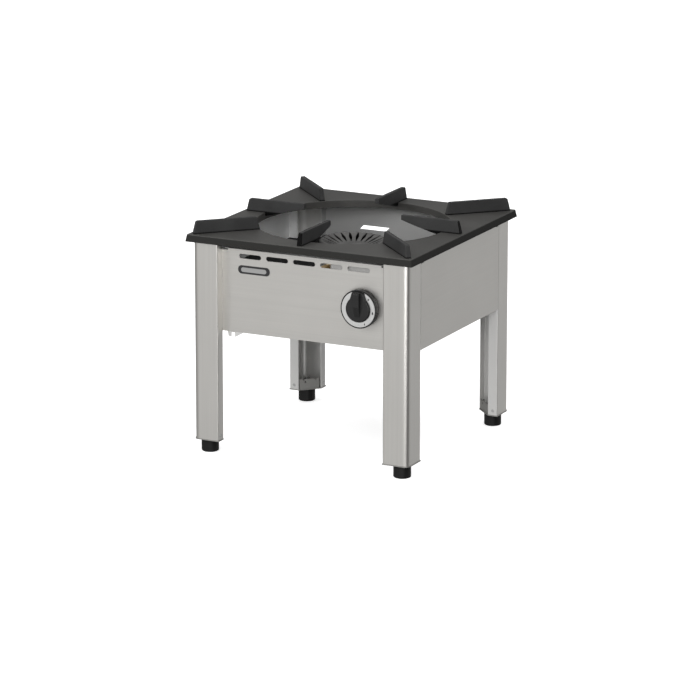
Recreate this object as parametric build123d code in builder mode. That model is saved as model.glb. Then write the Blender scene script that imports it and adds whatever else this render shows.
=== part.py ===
"""Free-standing gas stock pot range: one burner, lift-off cast top with eight pot rests, four folded legs.

Millimetres. +Z is up, the front panel with the knob faces -Y, +X is the viewer's right.
The origin is on the floor under the middle of the top.
"""

from build123d import *
from math import cos, radians, sin, sqrt
import os

# ---------------------------------------------------------------- driving dimensions
# top plate
top_side = 500.0            # outer width of the rim's lower edge, both ways
top_height = 450.0          # floor to the plate's upper face
plate_wall = 4.0            # thickness of the plate, its rim and its hole collar
rim_drop = 14.5             # height of the rim
rim_draft = 2.7             # how far the rim leans out on each side
rim_corner = 3.0            # corner radius of the plate
hole_margin = 53.0          # plate left between burner opening and rim
collar_drop = 13.8          # depth of the collar round the burner opening
edge_round = 1.2            # rounding of the plate's upper edges

# pot rests
rest_height = 26.0          # above the plate
rest_base = 11.0            # thickness at the plate
rest_crest = 8.5            # thickness at the crest
rest_corner = 5.0           # rounding of the outer upper corner
rest_lean = 6.0             # how far the outer end leans in
rest_edge = 1.2             # rounding of the crest
side_rest_margin = 10.0     # from a side rest's outer end to the rim's lower edge
side_rest_tip_gap = 41.0    # from the burner crown's edge out to a side rest's tip, level
side_rest_tip_depth = 10.0  # height of the tip's end face
side_rest_hook = 6.0        # how far it hooks below the plate inside the opening
side_rest_hook_width = 5.0  # flat under the hook
side_rest_sag = 0.8         # how far the lower edge bows down
corner_rest_margin = 17.5   # from a corner rest's outer end to the plate's corner
corner_rest_gap = 1.0       # from the opening's edge to its inner end
corner_rest_slope = 7.0     # how far the inner end leans out
rest_screw = 2.4            # shank radius
rest_screw_bite = 12.0      # how far the shank reaches into a rest
rest_screw_head = 4.5       # head radius
rest_screw_head_height = 3.0
side_rest_screw_in = 18.0   # screw in from a side rest's outer end
corner_rest_screws_in = (36.0, 104.0)

# body
top_overhang = 11.25        # how far the rim stands out past the legs
leg_face = 56.0             # width of each leg face
leg_return = 20.5           # depth of each inward return
leg_sheet = 1.5
leg_corner = 12.5           # outer radius of the leg's corner
bend = 2.4                  # outer radius of a sharp bend
leg_foot_gap = 27.0         # floor to the underside of the foot bracket
panel_sheet = 1.2
panel_height = 170.5
panel_air_gap = 11.5        # between the front panel and the rim
flush_air_gap = 1.5         # between the side and rear panels and the rim
panel_flange = 18.0         # inward flange at a panel's ends
panel_lip = 12.0            # inward lip along a panel's top and bottom
lip_relief = 6.0            # length of lip left out at each corner
notch_width = 13.0          # corner notch in a panel's upper edge
notch_depth = 4.0
flush_notch_depth = 6.0
seam = 0.2                  # gap between neighbouring sheets

# front panel features
slot_count = 5
slot_pitch = 60.0
slot_length = 49.0
slot_height = 9.5
slot_below = 13.3           # slot centres below the panel's upper edge
badge_width = 70.5
badge_height = 17.0
badge_corner = 8.0
badge_thick = 1.2
badge_inset = 71.15         # badge centre in from the front panel's left end
badge_below = 40.3          # badge centre below the panel's upper edge
clip_inset = 10.55          # little two-pronged clip under the front panel, in from its left end
clip_width = 33.0
clip_drop = 10.5
clip_sheet = 1.5
clip_prong = 8.0
clip_gap = 8.0
clip_neck = 2.0             # strip that joins the prongs
clip_taper = 2.0            # how far a prong's outer side leans in

# rear panel features
window_width = 59.5
window_height = 8.4
window_slant = 8.5          # its ends lean this far to the right, seen from the front
window_left = 68.0
window_above = 25.0         # window centre above the deck

# feet and their brackets
foot_radius = 17.7
foot_inset = 24.1           # foot centre from the outer leg faces
foot_round = 3.0
stud_radius = 5.0
stud_in_pad = 12.0          # how deep the stud sits in the pad
stud_above_nut = 14.0
thread_gap = 0.05           # running clearance of a thread
hole_gap = 0.3              # clearance of a plain hole
foot_nut_width = 17.0       # across flats
foot_nut_height = 8.0
cap_sheet = 2.0
cap_proud = 1.0             # how far the bracket stands out of the leg faces
web_height = 21.0
web_hole = 2.0
web_notch = 3.0
web_notch_spread = 26.0
tab_height = 16.0
tab_width = 13.0
rivet_radius = 1.6
rivet_head = 3.2
rivet_head_height = 0.9
rivet_rise = 9.0            # above the bracket
rivet_depth = 10.0          # from the outer leg face

# burner deck
deck_below = 69.0           # upper face below the panels' upper edge
deck_sheet = 1.5
deck_flange = 18.0
deck_air_hole = 24.0        # radius of the air hole under the burner
pipe_slot_length = 44.0     # slot that the burner pipe rises through
pipe_slot_gap = 3.0         # between the pipe and the slot's sides
lead_hole_gap = 2.0         # round the two thin tubes
spindle_hole_gap = 2.0

# burner
crown_radius = 68.0
crown_rise = 59.0           # top of the crown's rim above the deck
crown_height = 16.0
crown_floor = 3.5
crown_hub = 34.0            # radius where the slots begin
crown_slots = 22
crown_slot_root = 2.0       # slot width at the hub
crown_slot_width = 7.0      # where it is widest
crown_slot_wide_at = 49.0   # radius of that place
crown_slot_tip = 2.4        # slot width at its outer end
crown_rim = 5.0             # solid rim outside the slots
crown_dish = 11.5           # how far the arms fall towards the hub
crown_dome = 2.0            # how far the hub's middle stands above that
crown_dome_flat = 18.0      # radius of its flat
crown_skin = 1.5            # thickness under the slots, pierced where the gas rises
crown_bevel_in = 4.0
crown_bevel_drop = 3.0
spigot_depth = 6.0
spigot_wall = 4.0
bowl_wall = 5.0
bowl_floor = 8.0
bowl_band = 20.0            # height of the bowl's straight upper wall
bowl_foot = 34.0            # radius of the bowl's foot
venturi_rise = 24.0         # axis above the deck
venturi_bore = 12.0
venturi_radius = 17.0
venturi_mouth = 22.0        # outer radius of the flared mouth
venturi_end = 100.0         # mouth, in front of the burner's centre
venturi_flare = 16.0        # length of the flare
venturi_mouth_wall = 4.0
lug_radius = 8.0
lug_reach = 12.0            # lug centre out from the bowl's side
lug_height = 6.0
lug_screw = 2.9
lug_screw_head = 5.0
lug_screw_head_height = 3.5
screw_tail = 4.0            # how far a screw stands out behind what it holds

# gas tap and knob
tap_inset = 55.75           # tap axis in from the right leg's edge
tap_drop = 20.0             # tap axis below the deck
tap_radius = 14.0
tap_length = 42.0
tap_flange_width = 46.0
tap_flange_height = 26.0
tap_flange_thick = 4.0
tap_flange_corner = 4.0
tap_outlet_back = 25.2      # burner outlet, behind the tap's front face
tap_boss_drop = 5.0         # the two lower bosses, below the tap's round body
tap_boss_gap = 2.0          # between them
tap_screw_spread = 34.0
tap_screw = 1.9
tap_screw_head = 3.6
tap_screw_head_height = 2.2
plug_front = 9.0            # plug radius at its front end
plug_rear = 7.5
plug_start = 9.0            # behind the tap's front face
plug_length = 24.0
plug_end_wall = 4.0         # left behind the spindle's hole
push_spare = 1.0            # left behind the spindle when it is pushed in
running_gap = 0.05          # radial clearance of plug and spindle
spindle_radius = 4.0
spindle_flat = 3.0          # distance of its flat from the axis
push_travel = 4.0
knob_radius = 38.75
knob_gap = 5.0              # between panel and skirt
knob_skirt = 11.0           # depth of the skirt
knob_wall = 3.0
knob_boss = 8.0
ring_thick = 1.0
ring_border = 2.6           # black border outside the ring
grip_radius = 26.5
grip_rise = 5.0             # above the ring
neck_root = 17.5            # half width where the neck leaves the round grip
neck_tip = 12.5             # half width where it meets the border
grip_draft = 12.0           # lean of the grip's side, degrees
grip_edge = 1.5             # rounding of the grip's rim
ridge_width = 12.0
ridge_rise = 11.0           # above the ring
ridge_full = 6.0            # the crest is level from the border down to here, above the axis
ridge_low = 15.0            # where it runs out into the grip, below the axis
ridge_edge = 1.5            # rounding of its crest

# gas line
pipe_radius = 6.0
pipe_bore = 4.8
burner_pipe_radius = 5.0
burner_pipe_bore = 4.0
pipe_bend = 20.0
pipe_turn = 0.42            # the burner pipe turns up at this share of the way to the tap
pipe_nut_width = 19.0
pipe_nut_height = 12.0
boss_radius = 9.0
boss_length = 22.0          # from the tap axis
injector_radius = 5.0
injector_hex = 14.0
injector_hex_length = 9.0
injector_length = 24.0
injector_nose = 4.0         # solid end with the jet
injector_gap = 3.0          # from the injector's tip to the venturi's mouth
jet_radius = 1.0
bracket_width = 30.0
bracket_sheet = 2.0
bracket_foot = 18.0
bracket_margin = 4.0        # above the injector's nut
inlet_radius = 10.48        # R 1/2 thread outside the rear panel
inlet_bore = 6.5
inlet_shank = 10.0
inlet_hex = 27.0
inlet_hex_length = 9.0
inlet_plate_side = 34.0
inlet_plate_thick = 2.0
inlet_plate_corner = 4.0

# pilot and flame sensor
pilot_right = 66.0          # pilot group, right of and in front of the burner's centre
pilot_front = 46.0
pilot_tube = 2.0
sensor_tube = 1.6
sensor_tip = 2.6
sensor_tip_length = 26.0
pilot_spread = 13.0         # between pilot and sensor
pilot_head = 5.0
pilot_head_height = 16.0
pilot_wall = 1.5
pilot_bore_depth = 8.0
pilot_hole = 1.5            # radius of the cross hole
pilot_hole_below = 5.0      # its centre below the head's top
pilot_plate_sheet = 1.5
pilot_plate_rise = 30.0     # above the deck
pilot_plate_margin = 7.0    # plate beyond the tubes, to each side
pilot_plate_gap = 4.0       # in front of the sensor
pilot_plate_foot = 8.0
lead_drop = 59.0            # the two thin tubes run this far below the deck
lead_bend = 14.0

# ---------------------------------------------------------------- derived places
top_half = top_side / 2
body_half = top_half - top_overhang
hole_radius = top_half - hole_margin
side_rest_outer = top_half - side_rest_margin
side_rest_tip = crown_radius + side_rest_tip_gap
corner_rest_outer = top_half * sqrt(2) - corner_rest_margin
corner_rest_inner = hole_radius + corner_rest_gap
panel_top = top_height - rim_drop - panel_air_gap
flush_top = top_height - rim_drop - flush_air_gap
panel_bottom = panel_top - panel_height
deck_level = panel_top - deck_below
crown_level = deck_level + crown_rise
venturi_level = deck_level + venturi_rise
tap_right = body_half - leg_face - tap_inset
tap_level = deck_level - tap_drop
lead_level = deck_level - lead_drop
plate_half = top_half - rim_draft
plate_under = top_height - plate_wall
leg_bottom = leg_foot_gap + cap_sheet
foot_at = body_half - foot_inset
front_face = -body_half + leg_return + seam      # outer face of the recessed front panel
front_back = front_face + panel_sheet
panel_half = body_half - leg_face - seam         # half width of a panel between two legs
badge_left = panel_half - badge_inset
clip_left = panel_half - clip_inset
deck_half = body_half - panel_sheet - seam
crown_bottom = crown_level - crown_height
bowl_radius = crown_radius - 1.0
lug_at = bowl_radius + lug_reach
spigot_radius = bowl_radius - bowl_wall - hole_gap
knob_back = front_face - knob_gap
knob_front = knob_back - knob_skirt
tap_front = front_back
tap_end = tap_front + tap_length
boss_bottom = tap_level - tap_radius - tap_boss_drop
boss_back = tap_front + tap_outlet_back
injector_tip = -venturi_end - injector_gap
injector_back = injector_tip - injector_length
bracket_back = injector_back + injector_hex_length + bracket_sheet

CORNERS = ("front_left", "front_right", "rear_right", "rear_left")
QUARTERS = ((1, 0), (0, 1), (-1, 0), (0, -1))

os.makedirs("parts", exist_ok=True)


def save(piece, name):
    """Label a finished piece and write it out."""
    piece.label = name
    export_step(piece, f"parts/{name}.step")


def turned(x, y, quarter):
    """Point (x, y) turned about the Z axis by quarter turns."""
    c, s = QUARTERS[quarter]
    return (c * x - s * y, s * x + c * y)


def corner_plane(quarter, z):
    """Level plane at a leg's outer corner, local X and Y running inwards along its faces."""
    return Plane(
        origin=(*turned(-body_half, -body_half, quarter), z),
        x_dir=(*turned(1, 0, quarter), 0),
        z_dir=(0, 0, 1),
    )


def face_plane(quarter, z):
    """Level plane at the middle of a body face, local Y running inwards."""
    return Plane(
        origin=(*turned(0, -body_half, quarter), z),
        x_dir=(*turned(1, 0, quarter), 0),
        z_dir=(0, 0, 1),
    )


def front_view(y, x=0.0, z=0.0):
    """Upright plane seen from the front: local X to the right, local Y up."""
    return Plane(origin=(x, y, z), x_dir=(1, 0, 0), z_dir=(0, -1, 0))


def right_view(x, y=0.0, z=0.0):
    """Upright plane seen from the right: local X to the back, local Y up."""
    return Plane(origin=(x, y, z), x_dir=(0, 1, 0), z_dir=(1, 0, 0))


def level(z, x=0.0, y=0.0):
    """Level plane at height z."""
    return Plane(origin=(x, y, z), x_dir=(1, 0, 0), z_dir=(0, 0, 1))


def hexagon(width):
    """Regular hexagon by its width across flats."""
    return RegularPolygon(radius=width / 2, side_count=6, major_radius=False)


# ---------------------------------------------------------------- legs
def leg_corners():
    """Section of a folded leg: two faces with inward returns."""
    far = leg_face
    tip = leg_return
    wall = leg_sheet
    outer = [(far, tip), (far, 0), (0, 0), (0, far), (tip, far)]
    inner = [(tip, far - wall), (wall, far - wall), (wall, wall), (far - wall, wall), (far - wall, tip)]
    return outer + inner


rivet_level = leg_bottom + rivet_rise

for quarter, corner in enumerate(CORNERS):
    place = corner_plane(quarter, 0)
    with BuildPart() as leg:
        with BuildSketch(corner_plane(quarter, leg_bottom)) as leg_section:
            Polygon(*leg_corners(), align=None)
            for spot, radius in (
                ((0, 0), leg_corner), ((leg_sheet, leg_sheet), leg_corner - leg_sheet),
                ((leg_face, 0), bend), ((leg_face - leg_sheet, leg_sheet), bend - leg_sheet),
                ((0, leg_face), bend), ((leg_sheet, leg_face - leg_sheet), bend - leg_sheet),
            ):
                fillet(leg_section.vertices().sort_by_distance(spot)[0], radius)
        extrude(amount=plate_under - seam - leg_bottom)
        # rivet holes for the foot bracket, one in each return
        with BuildSketch(Plane(
            origin=place.from_local_coords(Vector(leg_face, rivet_depth, rivet_level)),
            x_dir=place.y_dir, z_dir=place.x_dir,
        )):
            Circle(rivet_radius + thread_gap)
        extrude(amount=-leg_sheet, mode=Mode.SUBTRACT)
        with BuildSketch(Plane(
            origin=place.from_local_coords(Vector(rivet_depth, leg_face, rivet_level)),
            x_dir=place.x_dir, z_dir=place.y_dir,
        )):
            Circle(rivet_radius + thread_gap)
        extrude(amount=-leg_sheet, mode=Mode.SUBTRACT)
    save(leg.part, f"leg_{corner}")

# ---------------------------------------------------------------- foot brackets, nuts and rivets
nut_bottom = leg_bottom
nut_top = nut_bottom + foot_nut_height
tab_face = leg_face - leg_sheet - seam            # tab's outer face, inside a return
web_line = leg_face - leg_sheet - seam + leg_return - seam

for quarter, corner in enumerate(CORNERS):
    with BuildPart() as foot_bracket:
        with BuildSketch(corner_plane(quarter, leg_foot_gap)) as cap_outline:
            edge = leg_face + cap_proud
            Polygon(
                (-cap_proud, -cap_proud), (edge, -cap_proud), (edge, leg_return),
                (leg_return, edge), (-cap_proud, edge), align=None,
            )
            fillet(cap_outline.vertices().sort_by_distance((-cap_proud, -cap_proud))[0], leg_corner)
        extrude(amount=cap_sheet)
        # diagonal web across the open side of the leg
        with BuildSketch(corner_plane(quarter, leg_bottom)):
            with BuildLine():
                Polyline(
                    (tab_face - cap_sheet, web_line - tab_face + cap_sheet),
                    (web_line - tab_face + cap_sheet, tab_face - cap_sheet),
                    (web_line - tab_face, tab_face - cap_sheet),
                    (tab_face - cap_sheet, web_line - tab_face),
                    close=True,
                )
            make_face()
        extrude(amount=web_height)
        # two small notches in the web's upper edge
        place = corner_plane(quarter, 0)
        diagonal = (place.x_dir + place.y_dir).normalized()
        across = (place.x_dir - place.y_dir).normalized()
        web_top = place.from_local_coords(Vector(web_line / 2, web_line / 2, leg_bottom + web_height))
        with BuildSketch(Plane(origin=web_top + diagonal * cap_sheet, x_dir=across, z_dir=diagonal)):
            with GridLocations(web_notch_spread, 0, 2, 1):
                Rectangle(web_notch, 2 * web_notch)
        extrude(amount=-3 * cap_sheet, mode=Mode.SUBTRACT)
        # two tabs against the inside of the returns
        for tab_x, tab_y, size_x, size_y in (
            (tab_face - cap_sheet / 2, rivet_depth, cap_sheet, tab_width),
            (rivet_depth, tab_face - cap_sheet / 2, tab_width, cap_sheet),
        ):
            with BuildSketch(corner_plane(quarter, leg_bottom)):
                with Locations((tab_x, tab_y)):
                    Rectangle(size_x, size_y)
            extrude(amount=tab_height)
        # clearance hole for the foot's stud
        with BuildSketch(corner_plane(quarter, leg_foot_gap)):
            with Locations((foot_inset, foot_inset)):
                Circle(stud_radius + hole_gap)
        extrude(amount=cap_sheet, mode=Mode.SUBTRACT)
        # rivet holes in the tabs
        with BuildSketch(Plane(
            origin=place.from_local_coords(Vector(tab_face, rivet_depth, rivet_level)),
            x_dir=place.y_dir, z_dir=place.x_dir,
        )):
            Circle(rivet_radius + thread_gap)
        extrude(amount=-cap_sheet, mode=Mode.SUBTRACT)
        with BuildSketch(Plane(
            origin=place.from_local_coords(Vector(rivet_depth, tab_face, rivet_level)),
            x_dir=place.x_dir, z_dir=place.y_dir,
        )):
            Circle(rivet_radius + thread_gap)
        extrude(amount=-cap_sheet, mode=Mode.SUBTRACT)
        # hole in the web
        middle = place.from_local_coords(Vector(web_line / 2, web_line / 2, leg_bottom + web_height * 0.7))
        with BuildSketch(Plane(origin=middle + across * 10.0 + diagonal * cap_sheet,
                               x_dir=across, z_dir=diagonal)):
            Circle(web_hole)
        extrude(amount=-3 * cap_sheet, mode=Mode.SUBTRACT)
    save(foot_bracket.part, f"foot_bracket_{corner}")

with BuildPart() as foot_nuts:
    with BuildSketch(level(nut_bottom)):
        with GridLocations(2 * foot_at, 2 * foot_at, 2, 2):
            hexagon(foot_nut_width)
            Circle(stud_radius + thread_gap, mode=Mode.SUBTRACT)
    extrude(amount=foot_nut_height)
save(foot_nuts.part, "foot_nuts")

rivet_grip = leg_sheet + seam + cap_sheet
with BuildPart() as foot_rivets:
    for quarter in range(4):
        place = corner_plane(quarter, 0)
        for at_x, at_y, out, along in (
            (leg_face, rivet_depth, place.x_dir, place.y_dir),
            (rivet_depth, leg_face, place.y_dir, place.x_dir),
        ):
            seat = place.from_local_coords(Vector(at_x, at_y, rivet_level))
            with BuildSketch(Plane(origin=seat, x_dir=along, z_dir=out)):
                Circle(rivet_radius)
            extrude(amount=-rivet_grip)
            with BuildSketch(Plane(origin=seat, x_dir=along, z_dir=out)):
                Circle(rivet_head)
            extrude(amount=rivet_head_height, taper=30)
            with BuildSketch(Plane(origin=seat - out * rivet_grip, x_dir=along, z_dir=out)):
                Circle(rivet_head)
            extrude(amount=-rivet_head_height)
save(foot_rivets.part, "foot_rivets")

# ---------------------------------------------------------------- screw feet
pad_height = leg_foot_gap
stud_top = nut_top + stud_above_nut

for quarter, corner in enumerate(CORNERS):
    centre = turned(-foot_at, -foot_at, quarter)
    with BuildPart() as foot_pad:
        with BuildSketch(level(0, *centre)):
            Circle(foot_radius)
        extrude(amount=pad_height)
        fillet(foot_pad.edges().group_by(Axis.Z)[0], foot_round)
        fillet(foot_pad.edges().group_by(Axis.Z)[-1], edge_round)
        with BuildSketch(level(pad_height, *centre)):
            Circle(stud_radius + thread_gap)
        extrude(amount=-stud_in_pad, mode=Mode.SUBTRACT)
    save(foot_pad.part, f"foot_pad_{corner}")

    with BuildPart() as foot_stud:
        with BuildSketch(level(pad_height - stud_in_pad, *centre)):
            Circle(stud_radius)
        extrude(amount=stud_top - pad_height + stud_in_pad)
        chamfer(foot_stud.edges().group_by(Axis.Z)[-1], edge_round)
    save(foot_stud.part, f"foot_stud_{corner}")


# ---------------------------------------------------------------- side and rear panels
def flush_panel(quarter):
    """Folded sheet between two legs, its face flush with theirs."""
    half, wall, deep = panel_half, panel_sheet, panel_flange
    tall = flush_top - panel_bottom
    with BuildPart() as panel:
        with BuildSketch(face_plane(quarter, panel_bottom)):
            Polygon(
                (-half, deep), (-half, 0), (half, 0), (half, deep),
                (half - wall, deep), (half - wall, wall), (wall - half, wall), (wall - half, deep),
                align=None,
            )
        extrude(amount=tall)
        for lip_bottom in (panel_bottom, flush_top - wall):
            with BuildSketch(face_plane(quarter, lip_bottom)):
                with Locations((0, wall / 2 + panel_lip / 2)):
                    Rectangle(2 * (half - lip_relief), panel_lip)
            extrude(amount=wall)
        with BuildSketch(face_plane(quarter, flush_top)):
            with Locations((notch_width / 2 - half, 0), (half - notch_width / 2, 0)):
                Rectangle(notch_width, 2 * wall)
        extrude(amount=-flush_notch_depth, mode=Mode.SUBTRACT)
    return panel.part


save(flush_panel(1), "side_panel_right")
save(flush_panel(3), "side_panel_left")

with BuildPart() as rear_panel:
    add(flush_panel(2))
    # pass-through window above the deck
    with BuildSketch(front_view(body_half, -window_left, deck_level + window_above)):
        half_low = (window_width + window_slant) / 2
        half_high = (window_width - window_slant) / 2
        Polygon(
            (-half_low, -window_height / 2), (half_high, -window_height / 2),
            (half_low, window_height / 2), (-half_high, window_height / 2), align=None,
        )
    extrude(amount=panel_sheet, both=True, mode=Mode.SUBTRACT)
    # hole for the gas inlet
    with BuildSketch(front_view(body_half, tap_right, tap_level)):
        Circle(inlet_shank + hole_gap)
    extrude(amount=panel_sheet, both=True, mode=Mode.SUBTRACT)
save(rear_panel.part, "rear_panel")

# ---------------------------------------------------------------- recessed front panel
# its end flanges fold forwards, inside the legs, against their returns
front_flange_outer = body_half - leg_face + leg_sheet + seam + panel_sheet
front_flange_inner = front_flange_outer - panel_sheet
front_flange_tip = front_face - (leg_return - 2 * leg_sheet - panel_lip / 4)

with BuildPart() as front_panel:
    with BuildSketch(level(panel_bottom)):
        Polygon(
            (-front_flange_outer, front_flange_tip), (-front_flange_inner, front_flange_tip),
            (-front_flange_inner, front_face), (front_flange_inner, front_face),
            (front_flange_inner, front_flange_tip), (front_flange_outer, front_flange_tip),
            (front_flange_outer, front_back), (-front_flange_outer, front_back),
            align=None,
        )
    extrude(amount=panel_top - panel_bottom)
    for lip_bottom in (panel_bottom, panel_top - panel_sheet):
        with BuildSketch(level(lip_bottom)):
            with Locations((0, front_back + panel_lip / 2 - panel_sheet / 2)):
                Rectangle(2 * (panel_half - lip_relief), panel_lip + panel_sheet)
        extrude(amount=panel_sheet)
    # corner notches
    with BuildSketch(level(panel_top)):
        notch_at = panel_half - notch_width / 2
        with Locations((-notch_at, front_face), (notch_at, front_face)):
            Rectangle(notch_width, 2 * panel_sheet)
    extrude(amount=-notch_depth, mode=Mode.SUBTRACT)
    # row of air slots
    with BuildSketch(front_view(front_face, 0, panel_top - slot_below)):
        with GridLocations(slot_pitch, 0, slot_count, 1):
            SlotOverall(slot_length, slot_height)
    extrude(amount=panel_sheet, both=True, mode=Mode.SUBTRACT)
    # spindle hole and the tap's screw holes
    with BuildSketch(front_view(front_face, tap_right, tap_level)):
        Circle(spindle_radius + spindle_hole_gap)
        with GridLocations(tap_screw_spread, 0, 2, 1):
            Circle(tap_screw + hole_gap)
    extrude(amount=panel_sheet, both=True, mode=Mode.SUBTRACT)
save(front_panel.part, "front_panel")

with BuildPart() as badge:
    with BuildSketch(front_view(front_face, -badge_left, panel_top - badge_below)):
        RectangleRounded(badge_width, badge_height, badge_corner)
    extrude(amount=badge_thick)
    fillet(badge.edges().group_by(Axis.Y)[0], badge_thick / 3)
save(badge.part, "badge_plate")

# two-pronged clip hanging from the front panel's lower lip
with BuildPart() as front_clip:
    clip_y = front_back + clip_sheet + seam
    with BuildSketch(front_view(clip_y, -clip_left, panel_bottom)) as clip_outline:
        with BuildLine():
            second = clip_prong + clip_gap
            Polyline(
                (0, 0), (clip_taper, -clip_drop), (clip_prong, -clip_drop), (clip_prong, -clip_neck),
                (second, -clip_neck), (second, -clip_drop), (second + clip_taper, -clip_drop),
                (clip_width, -clip_neck), (clip_width, 0), close=True,
            )
        make_face()
    extrude(amount=clip_sheet)
    with BuildSketch(front_view(clip_y, -clip_left, panel_bottom)):
        with Locations((clip_width / 2, -clip_sheet / 2)):
            Rectangle(clip_width, clip_sheet)
    extrude(amount=-panel_lip / 2)
save(front_clip.part, "front_clip")

# ---------------------------------------------------------------- burner deck
injector_pipe_low = (tap_right * pipe_turn, boss_back, tap_level)
injector_pipe_high = (0.0, boss_back, venturi_level)
rise = (deck_level - tap_level) / (venturi_level - tap_level)
pipe_pass = injector_pipe_low[0] + rise * (injector_pipe_high[0] - injector_pipe_low[0])
deck_front = front_back + seam
deck_back = deck_half
corner_cut = leg_face + 2 * seam
corner_hole = 2 * (corner_cut + panel_sheet + seam)

with BuildPart() as deck:
    with BuildSketch(level(deck_level - deck_sheet)):
        with Locations((0, (deck_front + deck_back) / 2)):
            Rectangle(2 * deck_half, deck_back - deck_front)
        with GridLocations(2 * body_half, 2 * body_half, 2, 2):
            Rectangle(corner_hole, corner_hole, mode=Mode.SUBTRACT)
    extrude(amount=deck_sheet)
    flange_long = 2 * (body_half - corner_cut - 2 * panel_sheet - seam)
    with BuildSketch(level(deck_level - deck_flange)):
        with Locations((deck_sheet / 2 - deck_half, 0), (deck_half - deck_sheet / 2, 0)):
            Rectangle(deck_sheet, flange_long)
    extrude(amount=deck_flange - deck_sheet)
    # air hole under the burner, pipe slot, burner screws and the two thin tubes
    with BuildSketch(level(deck_level)):
        Circle(deck_air_hole)
        with Locations((pipe_pass, boss_back)):
            SlotOverall(pipe_slot_length, 2 * (burner_pipe_radius + pipe_slot_gap))
        with Locations((-lug_at, 0), (lug_at, 0)):
            Circle(lug_screw + hole_gap)
        with Locations((pilot_right, -pilot_front), (pilot_right + pilot_spread, -pilot_front)):
            Circle(sensor_tip + lead_hole_gap)
    extrude(amount=-deck_sheet, mode=Mode.SUBTRACT)
save(deck.part, "burner_deck")

# ---------------------------------------------------------------- burner bowl with its venturi
with BuildPart() as bowl:
    with BuildSketch(Plane.XZ) as bowl_section:
        with BuildLine():
            Polyline(
                (0, deck_level), (bowl_foot, deck_level), (bowl_foot, deck_level + lug_height),
                (bowl_radius, crown_bottom - bowl_band), (bowl_radius, crown_bottom), (0, crown_bottom),
                close=True,
            )
        make_face()
    revolve(axis=Axis.Z)
    with BuildSketch(level(deck_level)):
        with Locations((-lug_at, 0), (lug_at, 0)):
            Circle(lug_radius)
        Rectangle(2 * lug_at, 2 * lug_radius)
    extrude(amount=lug_height)
    # mixing tube with a flared mouth
    with BuildSketch(front_view(0, 0, venturi_level)):
        Circle(venturi_radius)
    extrude(amount=venturi_end - venturi_flare)
    with BuildSketch(front_view(-venturi_end + venturi_flare, 0, venturi_level)):
        Circle(venturi_radius)
    with BuildSketch(front_view(-venturi_end, 0, venturi_level)):
        Circle(venturi_mouth)
    loft()
    # hollow inside
    with BuildSketch(Plane.XZ):
        with BuildLine():
            Polyline(
                (0, deck_level + bowl_floor), (bowl_foot - bowl_wall, deck_level + bowl_floor),
                (bowl_radius - bowl_wall, crown_bottom - bowl_band), (bowl_radius - bowl_wall, crown_bottom),
                (0, crown_bottom), close=True,
            )
        make_face()
    revolve(axis=Axis.Z, mode=Mode.SUBTRACT)
    with BuildSketch(front_view(0, 0, venturi_level)):
        Circle(venturi_bore)
    extrude(amount=venturi_end - venturi_flare, mode=Mode.SUBTRACT)
    with BuildSketch(front_view(-venturi_end + venturi_flare, 0, venturi_level)):
        Circle(venturi_bore)
    with BuildSketch(front_view(-venturi_end, 0, venturi_level)):
        Circle(venturi_mouth - venturi_mouth_wall)
    loft(mode=Mode.SUBTRACT)
    # screw holes in the lugs
    with BuildSketch(level(deck_level)):
        with Locations((-lug_at, 0), (lug_at, 0)):
            Circle(lug_screw + thread_gap)
    extrude(amount=lug_height, mode=Mode.SUBTRACT)
save(bowl.part, "burner_bowl")

with BuildPart() as lug_screws:
    for side in (-lug_at, lug_at):
        with BuildSketch(level(deck_level + lug_height, side)):
            Circle(lug_screw)
        extrude(amount=-(lug_height + deck_sheet + screw_tail))
        with BuildSketch(level(deck_level + lug_height, side)):
            hexagon(2 * lug_screw_head)
        extrude(amount=lug_screw_head_height)
save(lug_screws.part, "burner_screws")

# ---------------------------------------------------------------- lift-off burner crown
slot_floor = crown_bottom + crown_floor
dish_level = crown_level - crown_dish
spigot_inner = spigot_radius - spigot_wall
slot_end = crown_radius - crown_rim

with BuildPart() as crown:
    with BuildSketch(Plane.XZ):
        with BuildLine():
            Polyline(
                (0, slot_floor - crown_skin), (spigot_inner, slot_floor - crown_skin),
                (spigot_inner, crown_bottom - spigot_depth), (spigot_radius, crown_bottom - spigot_depth),
                (spigot_radius, crown_bottom), (crown_radius, crown_bottom),
                (crown_radius, crown_level - crown_bevel_drop), (crown_radius - crown_bevel_in, crown_level),
                (crown_hub, dish_level), (crown_dome_flat, dish_level + crown_dome),
                (0, dish_level + crown_dome), close=True,
            )
        make_face()
    revolve(axis=Axis.Z)
    # radial flame slots in the dished side, narrow at both ends
    with BuildSketch(level(slot_floor)):
        with PolarLocations(0, crown_slots, start_angle=180 / crown_slots):
            Polygon(
                (crown_hub, -crown_slot_root / 2), (crown_slot_wide_at, -crown_slot_width / 2),
                (slot_end, -crown_slot_tip / 2), (slot_end, crown_slot_tip / 2),
                (crown_slot_wide_at, crown_slot_width / 2), (crown_hub, crown_slot_root / 2), align=None,
            )
    extrude(amount=crown_height, mode=Mode.SUBTRACT)
    # gas ports through the skin under each slot
    with BuildSketch(level(slot_floor)):
        with PolarLocations(0, crown_slots, start_angle=180 / crown_slots):
            Polygon(
                (crown_hub, -crown_slot_root / 2), (crown_slot_wide_at, -crown_slot_root / 2),
                (crown_slot_wide_at, crown_slot_root / 2), (crown_hub, crown_slot_root / 2), align=None,
            )
    extrude(amount=-crown_skin, mode=Mode.SUBTRACT)
save(crown.part, "burner_crown")

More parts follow.
